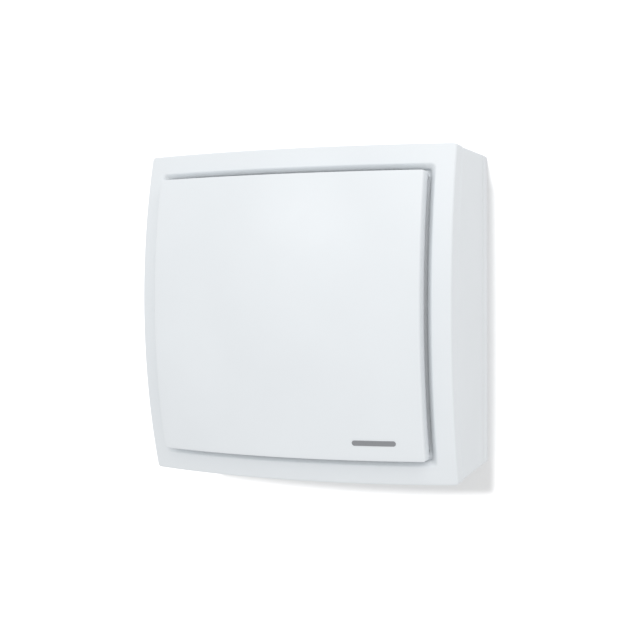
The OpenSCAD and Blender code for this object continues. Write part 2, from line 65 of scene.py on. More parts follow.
# ------------------------------------------------------------------ design
# Lengths in metres, as in the CAD. The dome is part of a sphere.
C_LO, C_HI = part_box("front_cover")
P_LO, P_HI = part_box("front_panel")
H_LO, H_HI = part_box("housing_shell")
T_LO, T_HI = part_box("mounting_tray")
HALF = C_HI.x                           # cover, half width
HH = H_HI.x                             # housing, half width
PW, PH = P_HI.x, P_HI.z                 # panel, half sizes
R_DOME = 0.710
SKIRT = 0.027
CORNER = -C_HI.y + SKIRT                # depth at the corners
YC = -CORNER + math.sqrt(R_DOME ** 2 - 2 * HALF ** 2)
PROUD, PANEL_T = 0.018, 0.003
RECESS, WALL = 0.012, 0.0025
GAP, SLOPE = 0.002, 0.007
SEAM = 0.0008
RIM = 0.003                             # the panel's rim ends this far behind the dome
RW, RH = PW + GAP, PH + GAP


def dome(x, z, back=0.0):
    return YC + back - math.sqrt(R_DOME ** 2 - x * x - z * z)


# ------------------------------------------------------------------ meshes
def outline(hw, z0, z1, r, side=30, arc=7):
    """Points round a rectangle with rounded corners, the same count for any size."""
    r = max(r, 1e-5)
    pts = []
    cs = [(hw - r, z1 - r, 0), (-hw + r, z1 - r, 90), (-hw + r, z0 + r, 180), (hw - r, z0 + r, 270)]
    for i, (cx, cz, a0) in enumerate(cs):
        for k in range(arc + 1):
            a = math.radians(a0 + 90 * k / arc)
            pts.append((cx + r * math.cos(a), cz + r * math.sin(a)))
        nx, nz, na = cs[(i + 1) % 4]
        x0, y0 = pts[-1]
        a = math.radians(na)
        x1, y1 = nx + r * math.cos(a), nz + r * math.sin(a)
        for k in range(1, side):
            t = k / side
            pts.append((x0 + (x1 - x0) * t, y0 + (y1 - y0) * t))
    return pts


def ring(hw, z0, z1, r, back=None, y=None):
    """One ring of points on the dome moved back by back, or at depth y."""
    return [(x, dome(x, z, back) if y is None else y, z) for x, z in outline(hw, z0, z1, r)]


def scaled(base, s, back=None, y=None, cz=0.0):
    out = []
    for x, _, z in base:
        x, z = x * s, cz + (z - cz) * s
        out.append((x, dome(x, z, back) if y is None else y, z))
    return out


def blend_rings(a, b, n):
    """n rings strictly between a and b, in straight lines."""
    return [[tuple(p[i] + (q[i] - p[i]) * k / (n + 1) for i in range(3)) for p, q in zip(a, b)] for k in range(1, n + 1)]


def mesh_from(name, verts, faces):
    me = bpy.data.meshes.new(name)
    me.from_pydata(verts, [], faces)
    me.validate()
    bm = bmesh.new()
    bm.from_mesh(me)
    bmesh.ops.recalc_face_normals(bm, faces=bm.faces)
    bm.to_mesh(me)
    bm.free()
    return me


def rings_mesh(name, rings, cap_first=False, cap_last=False, closed=False):
    """A skin through rings of equal count; caps are fans to a centre point."""
    n = len(rings[0])
    verts = [p for r in rings for p in r]
    faces = []
    m = len(rings)
    for i in range(m if closed else m - 1):
        a, b = i * n, ((i + 1) % m) * n
        for k in range(n):
            j = (k + 1) % n
            faces.append((a + k, a + j, b + j, b + k))
    for cap, i in ((cap_first, 0), (cap_last, m - 1)):
        if cap:
            verts.append(cap)
            c = len(verts) - 1
            for k in range(n):
                faces.append((i * n + k, i * n + (k + 1) % n, c))
    return mesh_from(name, verts, faces)


def add(name, me, mat, body=None, replaces=(), smooth=32):
    o = bpy.data.objects.new(name, me)
    scene.collection.objects.link(o)
    me.materials.clear()
    me.materials.append(mat)
    if smooth is not None:
        me.shade_smooth()
        me.set_sharp_from_angle(angle=math.radians(smooth))
    if body:
        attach(o, body)
    if replaces:
        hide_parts(*replaces)
    return o


def temp(me):
    o = bpy.data.objects.new("tmp", me)
    scene.collection.objects.link(o)
    return o


def boolean(me, tools, op="DIFFERENCE"):
    """The mesh after cutting or joining each tool mesh."""
    base = temp(me)
    made = []
    for t in tools:
        c = temp(t)
        made.append(c)
        m = base.modifiers.new("b", "BOOLEAN")
        m.operation, m.solver, m.object = op, "EXACT", c
    bpy.context.view_layer.update()
    out = bpy.data.meshes.new_from_object(base.evaluated_get(bpy.context.evaluated_depsgraph_get()))
    for o in made + [base]:
        bpy.data.objects.remove(o)
    return out


def join_meshes(name, parts):
    """One mesh of several closed meshes."""
    bm = bmesh.new()
    for p in parts:
        bm.from_mesh(p)
    me = bpy.data.meshes.new(name)
    bm.to_mesh(me)
    bm.free()
    return me


def box_mesh(x0, x1, y0, y1, z0, z1, bevel=0.0, seg=3):
    bm = bmesh.new()
    bmesh.ops.create_cube(bm, size=1)
    for v in bm.verts:
        v.co = Vector((x0 if v.co.x < 0 else x1, y0 if v.co.y < 0 else y1, z0 if v.co.z < 0 else z1))
    if bevel:
        bmesh.ops.bevel(bm, geom=list(bm.edges), offset=bevel, segments=seg, affect="EDGES", profile=0.5)
    bmesh.ops.recalc_face_normals(bm, faces=bm.faces)
    me = bpy.data.meshes.new("box")
    bm.to_mesh(me)
    bm.free()
    return me


def lathe(profile, seg=64, centre=(0, 0, 0), axis="y"):
    """Turns (radius, along) pairs round an axis. A first or last radius of 0 closes to a point."""
    verts, faces, rows = [], [], []
    for r, h in profile:
        if r < 1e-9:
            verts.append((0, h, 0))
            rows.append([len(verts) - 1])
        else:
            row = []
            for k in range(seg):
                a = 2 * math.pi * k / seg
                verts.append((r * math.cos(a), h, r * math.sin(a)))
                row.append(len(verts) - 1)
            rows.append(row)
    closed = profile[0] == profile[-1]
    if closed:
        rows[-1] = rows[0]
    for a, b in zip(rows, rows[1:]):
        for k in range(seg):
            j = (k + 1) % seg
            q = [a[k % len(a)], a[j % len(a)], b[j % len(b)], b[k % len(b)]]
            q = list(dict.fromkeys(q))
            if len(q) > 2:
                faces.append(q)
    if axis == "z":
        verts = [(x, z, y) for x, y, z in verts]
    elif axis == "x":
        verts = [(y, x, z) for x, y, z in verts]
    cx, cy, cz = centre
    verts = [(x + cx, y + cy, z + cz) for x, y, z in verts]
    me = mesh_from("lathe", verts, faces)
    if closed:
        bm = bmesh.new()
        bm.from_mesh(me)
        bmesh.ops.delete(bm, geom=[v for v in bm.verts if not v.link_faces], context="VERTS")
        bm.to_mesh(me)
        bm.free()
    return me


def cyl(r, y0, y1, x=0, z=0, seg=64):
    return lathe([(0, y0), (r, y0), (r, y1), (0, y1)], seg, (x, 0, z))


# ------------------------------------------------------------------ materials
def tree(name):
    m = bpy.data.materials.new(name)
    m.use_nodes = True
    nt = m.node_tree
    bsdf = nt.nodes["Principled BSDF"]
    return m, nt, bsdf


def coords(nt, scale=(1, 1, 1)):
    tc = nt.nodes.new("ShaderNodeTexCoord")
    mp = nt.nodes.new("ShaderNodeMapping")
    mp.inputs["Scale"].default_value = scale
    nt.links.new(tc.outputs["Object"], mp.inputs["Vector"])
    return mp.outputs["Vector"]


def noise(nt, vec, scale, detail=3, rough=0.5, dist=0.0):
    n = nt.nodes.new("ShaderNodeTexNoise")
    n.inputs["Scale"].default_value = scale
    n.inputs["Detail"].default_value = detail
    n.inputs["Roughness"].default_value = rough
    n.inputs["Distortion"].default_value = dist
    nt.links.new(vec, n.inputs["Vector"])
    return n.outputs["Fac"]


def ramp(nt, fac, stops):
    r = nt.nodes.new("ShaderNodeValToRGB")
    els = r.color_ramp.elements
    while len(els) < len(stops):
        els.new(0.5)
    for e, (p, c) in zip(els, stops):
        e.position = p
        e.color = (*c, 1) if len(c) == 3 else c
    nt.links.new(fac, r.inputs["Fac"])
    return r.outputs["Color"]


def maprange(nt, fac, a, b, lo, hi):
    n = nt.nodes.new("ShaderNodeMapRange")
    for k, v in (("From Min", a), ("From Max", b), ("To Min", lo), ("To Max", hi)):
        n.inputs[k].default_value = v
    nt.links.new(fac, n.inputs["Value"])
    return n.outputs["Result"]


def bump(nt, height, strength, dist, normal=None):
    b = nt.nodes.new("ShaderNodeBump")
    b.inputs["Strength"].default_value = strength
    b.inputs["Distance"].default_value = dist
    nt.links.new(height, b.inputs["Height"])
    if normal is not None:
        nt.links.new(normal, b.inputs["Normal"])
    return b.outputs["Normal"]


def shade(c, k):
    return tuple(min(1.0, v * k) for v in c)


def moulded(name, color, rough=0.38, var=0.012, grain=2600.0, depth=0.00002, strength=0.35, spec=0.5, rvar=0.03):
    """Moulded plastic: fine tool grain, slow waves in tone and gloss."""
    m, nt, b = tree(name)
    v = coords(nt)
    slow = noise(nt, v, 9.0, 2)
    col = ramp(nt, slow, [(0.3, shade(color, 1 - var)), (0.7, shade(color, 1 + var))])
    nt.links.new(col, b.inputs["Base Color"])
    mid = noise(nt, v, 160.0, 4)
    nt.links.new(maprange(nt, mid, 0.3, 0.7, rough - rvar, rough + rvar), b.inputs["Roughness"])
    fine = noise(nt, v, grain, 2, 0.6)
    nt.links.new(bump(nt, fine, strength, depth), b.inputs["Normal"])
    b.inputs["Specular IOR Level"].default_value = spec
    return m


def foam_mat(name, color, bead=230.0):
    """Moulded bead foam: flattened beads with dark joints."""
    m, nt, b = tree(name)
    v = coords(nt)
    vo = nt.nodes.new("ShaderNodeTexVoronoi")
    vo.feature = "DISTANCE_TO_EDGE"
    vo.inputs["Scale"].default_value = bead
    nt.links.new(v, vo.inputs["Vector"])
    cell = nt.nodes.new("ShaderNodeTexVoronoi")
    cell.inputs["Scale"].default_value = bead
    nt.links.new(v, cell.inputs["Vector"])
    tone = ramp(nt, maprange(nt, cell.outputs["Distance"], 0.0, 0.8, 0, 1), [(0.0, shade(color, 1.25)), (1.0, shade(color, 0.8))])
    edge = ramp(nt, vo.outputs["Distance"], [(0.0, (0.45, 0.45, 0.45)), (0.09, (1, 1, 1))])
    mix = nt.nodes.new("ShaderNodeMixRGB")
    mix.blend_type = "MULTIPLY"
    mix.inputs[0].default_value = 0.8
    nt.links.new(tone, mix.inputs[1])
    nt.links.new(edge, mix.inputs[2])
    nt.links.new(mix.outputs[0], b.inputs["Base Color"])
    nt.links.new(maprange(nt, noise(nt, v, 500.0), 0.3, 0.7, 0.7, 0.9), b.inputs["Roughness"])
    n1 = bump(nt, maprange(nt, vo.outputs["Distance"], 0.0, 0.14, 0, 1), 0.6, 0.0004)
    nt.links.new(bump(nt, noise(nt, v, 1500.0), 0.3, 0.0001, n1), b.inputs["Normal"])
    return m


def rubber_mat(name, color):
    m, nt, b = tree(name)
    v = coords(nt)
    nt.links.new(ramp(nt, noise(nt, v, 40.0, 3), [(0.3, shade(color, 0.8)), (0.7, shade(color, 1.35))]), b.inputs["Base Color"])
    nt.links.new(maprange(nt, noise(nt, v, 300.0), 0.3, 0.7, 0.55, 0.75), b.inputs["Roughness"])
    nt.links.new(bump(nt, noise(nt, v, 2200.0), 0.4, 0.00004), b.inputs["Normal"])
    return m


def metal_mat(name, color, rough=0.3, stretch=(1, 1, 40)):
    """Drawn or turned metal, with fine lines along one axis."""
    m, nt, b = tree(name)
    v = coords(nt, stretch)
    lines = noise(nt, v, 120.0, 4, 0.7)
    nt.links.new(ramp(nt, lines, [(0.3, shade(color, 0.88)), (0.7, shade(color, 1.05))]), b.inputs["Base Color"])
    nt.links.new(maprange(nt, lines, 0.3, 0.7, rough - 0.07, rough + 0.09), b.inputs["Roughness"])
    b.inputs["Metallic"].default_value = 1.0
    nt.links.new(bump(nt, lines, 0.15, 0.00002), b.inputs["Normal"])
    return m


def felt_mat(name, color):
    """Filter fleece: tangled fibres."""
    m, nt, b = tree(name)
    v = coords(nt)
    f1 = noise(nt, v, 420.0, 6, 0.75, 1.5)
    f2 = noise(nt, v, 1700.0, 3, 0.7, 2.5)
    nt.links.new(ramp(nt, f1, [(0.25, shade(color, 0.86)), (0.75, shade(color, 1.04))]), b.inputs["Base Color"])
    b.inputs["Roughness"].default_value = 0.92
    b.inputs["Sheen Weight"].default_value = 0.25
    n1 = bump(nt, f1, 0.5, 0.0003)
    nt.links.new(bump(nt, f2, 0.5, 0.00012, n1), b.inputs["Normal"])
    return m


def board_mat(name):
    """Solder mask with a faint grid of tracks."""
    m, nt, b = tree(name)
    v = coords(nt)
    br = nt.nodes.new("ShaderNodeTexBrick")
    br.inputs["Scale"].default_value = 120.0
    br.inputs["Mortar Size"].default_value = 0.035
    br.inputs["Color1"].default_value = (0.012, 0.13, 0.055, 1)
    br.inputs["Color2"].default_value = (0.016, 0.15, 0.065, 1)
    br.inputs["Mortar"].default_value = (0.03, 0.26, 0.11, 1)
    sw = nt.nodes.new("ShaderNodeMapping")
    sw.inputs["Rotation"].default_value = (math.pi / 2, 0, 0)
    nt.links.new(v, sw.inputs["Vector"])
    nt.links.new(sw.outputs["Vector"], br.inputs["Vector"])
    nt.links.new(br.outputs["Color"], b.inputs["Base Color"])
    nt.links.new(maprange(nt, noise(nt, v, 200.0), 0.3, 0.7, 0.3, 0.42), b.inputs["Roughness"])
    nt.links.new(bump(nt, br.outputs["Fac"], 0.3, 0.00004), b.inputs["Normal"])
    return m


WHITE = (0.848, 0.884, 0.912)
MAT = {
    "case_white": moulded("case_white_plastic", WHITE, 0.42),
    "panel_white": moulded("panel_white_plastic", WHITE, 0.33, grain=3000.0),
    "foam": foam_mat("bead_foam", (0.10, 0.105, 0.115)),
    "soft_rubber": rubber_mat("black_rubber", (0.02, 0.02, 0.022)),
    "seal_foam": rubber_mat("seal_foam", (0.045, 0.045, 0.05)),
    "exchanger_white": moulded("exchanger_foil", (0.78, 0.81, 0.83), 0.3),
    "exchanger_grey": moulded("exchanger_end", (0.36, 0.38, 0.41), 0.4, 0.03),
    "duct_grey": moulded("duct_plastic", (0.62, 0.63, 0.65), 0.42, 0.02, 1800.0, 0.00003),
    "flap_white": moulded("flap_plastic", (0.7, 0.71, 0.72), 0.4, 0.02),
    "steel": metal_mat("zinc_steel", (0.62, 0.63, 0.65)),
    "actuator_blue": moulded("actuator_plastic", (0.03, 0.07, 0.17), 0.4, 0.05),
    "fan_grey": moulded("fan_plastic", (0.06, 0.062, 0.068), 0.42, 0.06, 1500.0, 0.00004),
    "motor_metal": metal_mat("motor_metal", (0.28, 0.29, 0.31), 0.4, (1, 25, 1)),
    "impeller_black": moulded("impeller_plastic", (0.018, 0.018, 0.02), 0.36, 0.1),
    "filter_frame_white": moulded("filter_frame_plastic", (0.74, 0.76, 0.76), 0.45, 0.02),
    "filter_mat": felt_mat("filter_fleece", (0.82, 0.83, 0.81)),
    "tray_grey": moulded("tray_plastic", (0.12, 0.13, 0.14), 0.45, 0.05),
    "box_grey": moulded("box_plastic", (0.085, 0.088, 0.095), 0.45, 0.05, 1400.0, 0.00004),
    "board_green": board_mat("solder_mask"),
    "component_black": moulded("component_plastic", (0.02, 0.02, 0.022), 0.4, 0.1),
    "terminal_green": moulded("terminal_plastic", (0.02, 0.2, 0.06), 0.4, 0.05),
    "stud_plastic": moulded("stud_plastic", (0.62, 0.64, 0.66), 0.35, 0.02),
    "badge_grey": metal_mat("badge_metal", (0.36, 0.37, 0.39), 0.38, (40, 1, 1)),
    "light_pipe": moulded("light_pipe", (0.72, 0.82, 0.86), 0.12, 0.02),
}
slots = {s["node"]: s["material_slot"] for s in frame["record"]["subparts"]}
BUILT = {"front_panel", "front_cover", "cover_grille", "housing_shell", "mounting_tray", "badge"}
WIDE = {"insulation_rear": 0.0012, "insulation_front": 0.0012, "electronics_box": 0.0007, "electronics_lid": 0.0007, "exchanger_frame": 0.0007,
        "supply_fan_housing": 0.0007, "exhaust_fan_housing": 0.0007, "exhaust_spigot": 0.0004, "outdoor_spigot": 0.0004, "flap_actuators": 0.0007,
        "terminal_block": 0.0003, "mode_button": 0.0005, "exchanger_plates": 0.0002, "extract_filter_media": 0.0004, "outdoor_filter_media": 0.0004}
for n, o in NODES.items():
    o.data.materials.clear()
    o.data.materials.append(MAT[slots[n]])
    if n in BUILT:
        continue
    w = o.modifiers.new("weld", "WELD")
    w.merge_threshold = 0.00001
    m = o.modifiers.new("soft_edges", "BEVEL")
    m.width = WIDE.get(n, 0.0003)
    m.segments = 2
    m.limit_method = "ANGLE"
    m.angle_limit = math.radians(38)
    m.harden_normals = True
    m.use_clamp_overlap = True

# ------------------------------------------------------------------ camera
cam = bpy.data.objects.new("camera", bpy.data.cameras.new("camera"))
scene.collection.objects.link(cam)
RIGHT = Vector((0.9328373288254366, 0.3601612332059271, -0.009919881320382545))
DOWN = Vector((0.008907343914199978, -0.05057705456302464, -0.9986804397684593))
FWD = Vector((-0.36018769714444554, 0.9315180339893131, -0.050388244447157726))
rot = Matrix((RIGHT, -DOWN, -FWD)).transposed().to_4x4()
cam.matrix_world = Matrix.Translation((0.5245607, -1.4475308, 0.0625337)) @ rot
cam.data.sensor_width = 36
cam.data.lens = 61.9045
cam.data.clip_start = 0.01
cam.data.clip_end = 60
scene.camera = cam

# ------------------------------------------------------------------ front panel
def front_panel():
    hw, z0, z1, b0 = PW, -PH, PH, -PROUD
    rc, rho = 0.0026, 0.0016
    rings = []
    face = ring(hw - rho, z0 + rho, z1 - rho, rc - 0.001, b0)
    n = 26
    for k in range(1, n + 1):
        rings.append(scaled(face, k / n, b0))
    for k in range(1, 7):
        a = math.radians(90 * k / 6)
        i = rho * (1 - math.sin(a))
        rings.append(ring(hw - i, z0 + i, z1 - i, rc - i * 0.6, b0 + rho * (1 - math.cos(a))))
    for k in range(1, 5):
        rings.append(ring(hw, z0, z1, rc, b0 + rho + (RIM - 0.0005 - b0 - rho) * k / 4))
    rings.append(ring(hw - 0.0002, z0 + 0.0002, z1 - 0.0002, rc, RIM - 0.0001))
    rings.append(ring(hw - 0.0006, z0 + 0.0006, z1 - 0.0006, rc - 0.0004, RIM))
    t = 0.0026
    rings.append(ring(hw - t + 0.0003, z0 + t - 0.0003, z1 - t + 0.0003, 0.0008, RIM))
    rings.append(ring(hw - t, z0 + t, z1 - t, 0.0008, RIM - 0.0003))
    for k in range(1, 4):
        rings.append(ring(hw - t, z0 + t, z1 - t, 0.0008, RIM - 0.0003 - (RIM - 0.0003 + PROUD - PANEL_T - 0.002) * k / 3))
    for k in range(1, 5):
        a = math.radians(90 * k / 4)
        i = t + 0.002 * (1 - math.cos(a))
        rings.append(ring(hw - i, z0 + i, z1 - i, 0.0008 + 0.001 * k / 4, -PROUD + PANEL_T + 0.002 * (1 - math.sin(a))))
    last = rings[-1]
    for k in range(n - 1, 0, -1):
        rings.append(scaled(last, k / n, -PROUD + PANEL_T))
    return rings_mesh("front_panel_shell", rings, (0, dome(0, 0, b0), 0), (0, dome(0, 0, -PROUD + PANEL_T), 0))


def boss(x, z, rad, b0, b1, y_end, seg=48):
    """A round boss that grows out of a domed skin with a small fillet."""
    rings = []
    for rr, b in ((rad + 0.002, b0), (rad + 0.002, b1 + 0.0001), (rad + 0.0009, b1 + 0.0005), (rad + 0.0003, b1 + 0.0012), (rad, b1 + 0.0022)):
        rings.append([(x + rr * math.cos(t), dome(x + rr * math.cos(t), z + rr * math.sin(t), b), z + rr * math.sin(t)) for t in (2 * math.pi * k / seg for k in range(seg))])
    for rr, y in ((rad, y_end - 0.0005), (rad - 0.0005, y_end)):
        rings.append([(x + rr * math.cos(t), y, z + rr * math.sin(t)) for t in (2 * math.pi * k / seg for k in range(seg))])
    return rings_mesh("boss", rings, (x, dome(x, z, b0), z), (x, y_end, z))


panel_me = front_panel()
extra = []
for sx in (-1, 1):
    for sz in (-1, 1):
        x, z = sx * 0.146, sz * 0.150
        extra.append(boss(x, z, 0.008, -PROUD + 0.0016, -PROUD + PANEL_T, -0.205))
for sx in (-1, 1):
    # stiffening rib that follows the dome
    vs, fs = [], []
    n = 48
    for k in range(n + 1):
        z = -PH + 0.0035 + (2 * PH - 0.007) * k / n
        for dx, b in ((-1, -PROUD + 0.001), (1, -PROUD + 0.001), (1, -PROUD + PANEL_T + 0.0056), (0.6, -PROUD + PANEL_T + 0.006), (-0.6, -PROUD + PANEL_T + 0.006), (-1, -PROUD + PANEL_T + 0.0056)):
            x = sx * 0.090 + dx * 0.001
            vs.append((x, dome(sx * 0.090, z, b), z))
    for k in range(n):
        for j in range(6):
            a, c = k * 6 + j, k * 6 + (j + 1) % 6
            fs.append((a, c, c + 6, a + 6))
    fs.append(tuple(range(6)))
    fs.append(tuple(n * 6 + j for j in range(6)))
    extra.append(mesh_from("rib", vs, fs))
add("front_panel_shell", join_meshes("front_panel_shell", [panel_me] + extra), MAT["panel_white"], "panel", ["front_panel"])

# ------------------------------------------------------------------ front cover
def front_cover():
    rings = []
    b_rear = SKIRT
    t = WALL
    # outside of the skirt, from its rear edge forward
    rings.append(ring(HALF - 0.0005, -HALF + 0.0005, HALF - 0.0005, 0.0035, b_rear))
    rings.append(ring(HALF, -HALF, HALF, 0.004, b_rear - 0.0005))
    rho = 0.0026
    for k in range(1, 6):
        rings.append(ring(HALF, -HALF, HALF, 0.004, b_rear - 0.0005 - (b_rear - 0.0005 - rho) * k / 5))
    for k in range(1, 8):
        a = math.radians(90 * k / 7)
        i = rho * (1 - math.cos(a))
        rings.append(ring(HALF - i, -HALF + i, HALF - i, 0.004 - i * 0.4, rho * (1 - math.sin(a))))
    # domed frame, inwards
    a0 = rings[-1]
    a1 = ring(RW + SLOPE + 0.0012, -RH - SLOPE - 0.0012, RH + SLOPE + 0.0012, 0.0062, 0.0)
    for k in range(1, 7):
        row = []
        for p, q in zip(a0, a1):
            x = p[0] + (q[0] - p[0]) * k / 6
            z = p[2] + (q[2] - p[2]) * k / 6
            row.append((x, dome(x, z, 0.0), z))
        rings.append(row)
    # soft lip, dished slope and the short wall behind it
    for w, b in ((0.0074, 0.0001), (0.0067, 0.0005), (0.0058, 0.0013), (0.0046, 0.0026), (0.0034, 0.0039), (0.0022, 0.0052),
                 (0.0012, 0.0064), (0.0005, 0.0074), (0.0001, 0.0085), (0.0, 0.0098), (0.0, RECESS - 0.0008)):
        rings.append(ring(RW + w, -RH - w, RH + w, 0.003 + w * 0.45, b))
    rings.append(ring(RW - 0.0002, -RH + 0.0002, RH - 0.0002, 0.003, RECESS - 0.0002))
    rings.append(ring(RW - 0.0008, -RH + 0.0008, RH - 0.0008, 0.0025, RECESS))
    last = rings[-1]
    n = 22
    for k in range(n - 1, 0, -1):
        rings.append(scaled(last, k / n, RECESS))
    c1 = len(rings)
    back = ring(RW + 0.005, -RH - 0.005, RH + 0.005, 0.004, RECESS + WALL)
    for k in range(1, n):
        rings.append(scaled(back, k / n, RECESS + WALL))
    rings.append(back)
    for f in (0.33, 0.66, 1.0):
        rings.append(ring(RW + 0.005, -RH - 0.005, RH + 0.005, 0.004, RECESS + WALL - (RECESS + WALL - 0.003) * f))
    i0 = rings[-1]
    i1 = ring(HALF - t - 0.001, -HALF + t + 0.001, HALF - t - 0.001, 0.002, 0.003)
    for k in range(1, 4):
        row = []
        for p, q in zip(i0, i1):
            x = p[0] + (q[0] - p[0]) * k / 3
            z = p[2] + (q[2] - p[2]) * k / 3
            row.append((x, dome(x, z, 0.003), z))
        rings.append(row)
    rings.append(ring(HALF - t, -HALF + t, HALF - t, 0.002, 0.004))
    for k in range(1, 4):
        rings.append(ring(HALF - t, -HALF + t, HALF - t, 0.002, 0.004 + (b_rear - 0.0043) * k / 3))
    rings.append(ring(HALF - t + 0.0003, -HALF + t - 0.0003, HALF - t + 0.0003, 0.002, b_rear))
    # one skin: front chain up to c1, back chain after it, joined at the rear edge
    n_pts = len(rings[0])
    verts = [p for r in rings for p in r]
    faces = []
    for i in range(len(rings) - 1):
        if i == c1 - 1:
            continue
        for k in range(n_pts):
            j = (k + 1) % n_pts
            faces.append((i * n_pts + k, i * n_pts + j, (i + 1) * n_pts + j, (i + 1) * n_pts + k))
    m = len(rings) - 1
    for k in range(n_pts):
        j = (k + 1) % n_pts
        faces.append((m * n_pts + k, m * n_pts + j, j, k))
    for i, b in ((c1 - 1, RECESS), (c1, RECESS + WALL)):
        verts.append((0, dome(0, 0, b), 0))
        c = len(verts) - 1
        for k in range(n_pts):
            faces.append((i * n_pts + k, i * n_pts + (k + 1) % n_pts, c))
    return mesh_from("front_cover_shell", verts, faces)


def rounded_prism(x0, x1, z0, z1, r, y0, y1, arc=6):
    cx, cz = (x0 + x1) / 2, (z0 + z1) / 2
    o = outline((x1 - x0) / 2, -(z1 - z0) / 2, (z1 - z0) / 2, r, side=1, arc=arc)
    pts = [(cx + x, cz + z) for x, z in o]
    n = len(pts)
    vs = [(x, y0, z) for x, z in pts] + [(x, y1, z) for x, z in pts]
    fs = [(k, (k + 1) % n, n + (k + 1) % n, n + k) for k in range(n)] + [tuple(range(n)), tuple(range(n, 2 * n))]
    return mesh_from("prism", vs, fs)


POSTS = [(sx * 0.168, sz * 0.163) for sx in (-1, 1) for sz in (-1, 1)]
STUDS = [(sx * 0.146, sz * 0.150) for sx in (-1, 1) for sz in (-1, 1)]
cover_me = front_cover()
tools = [
    rounded_prism(-0.166, -0.062, -0.128, 0.128, 0.004, -0.30, -0.15),
    rounded_prism(0.040, 0.166, -0.128, 0.128, 0.004, -0.30, -0.15),
]
for x, z in STUDS:
    tools.append(cyl(0.006, -0.30, -0.10, x, z))
for x, z in POSTS:
    tools.append(cyl(0.0046, -0.30, -0.10, x, z, 48))
tools.append(cyl(0.0055, -0.30, -0.19, -0.010, 0.030, 48))
for z in (0.010, 0.0, -0.010):
    tools.append(cyl(0.0023, -0.30, -0.19, -0.010, z, 32))
cover_me = boolean(cover_me, tools)
parts = []
# seats under the cover screws
for x, z in POSTS:
    yf = dome(x, z, RECESS) + 0.0006
    parts.append(lathe([(0.0022, -0.170), (0.006, -0.170), (0.006, yf), (0.0046, yf), (0.0046, -0.174), (0.0022, -0.174), (0.0022, -0.170)], 48, (x, 0, z)))


def curved_bar(x0, x1, z0, z1, b0, b1, along, n=24):
    """A bar that follows the dome between two depths behind it."""
    vs, fs = [], []
    r = 0.0004
    sec = [(0, r), (r, 0), (1, 0), (2, r), (2, 3), (0, 3)]
    for k in range(n + 1):
        t = k / n
        if along == "x":
            x = x0 + (x1 - x0) * t
            for z, b in ((z0, b0 + r), (z0 + r, b0), (z1 - r, b0), (z1, b0 + r), (z1, b1), (z0, b1)):
                vs.append((x, dome(x, z, b), z))
        else:
            z = z0 + (z1 - z0) * t
            for x, b in ((x0, b0 + r), (x0 + r, b0), (x1 - r, b0), (x1, b0 + r), (x1, b1), (x0, b1)):
                vs.append((x, dome(x, z, b), z))
    for k in range(n):
        for j in range(6):
            a, c = k * 6 + j, k * 6 + (j + 1) % 6
            fs.append((a, c, c + 6, a + 6))
    fs += [tuple(range(6)), tuple(n * 6 + j for j in range(6))]
    return mesh_from("bar", vs, fs)


for i in range(15):
    z = -0.112 + 0.016 * i
    parts.append(curved_bar(-0.170, -0.057, z - 0.0015, z + 0.0015, RECESS + 0.0004, RECESS + WALL - 0.0002, "x"))
for x in (-0.131, -0.096):
    parts.append(curved_bar(x - 0.0015, x + 0.0015, -0.130, 0.130, RECESS + 0.0006, RECESS + WALL - 0.0004, "z"))


def rib_plate(x0, x1, z0, z1, y_back, b):
    """A rib from the cover's floor back to a flat edge."""
    n = 24
    vs, fs = [], []
    for k in range(n + 1):
        z = z0 + (z1 - z0) * k / n
        vs += [(x0, dome(x0, z, b), z), (x1, dome(x1, z, b), z), (x1, y_back, z), (x0, y_back, z)]
    for k in range(n):
        for j in range(4):
            a, c = k * 4 + j, k * 4 + (j + 1) % 4
            fs.append((a, c, c + 4, a + 4))
    fs += [(0, 1, 2, 3), (n * 4, n * 4 + 1, n * 4 + 2, n * 4 + 3)]
    return mesh_from("rib", vs, fs)


for x in (-0.058, 0.036):
    parts.append(rib_plate(x, x + 0.002, -0.150, 0.150, -0.1505, RECESS + 0.001))
add("front_cover_shell", join_meshes("front_cover_shell", [cover_me] + parts), MAT["case_white"], "unit", [n for n in ("front_cover", "cover_grille") if n in NODES])

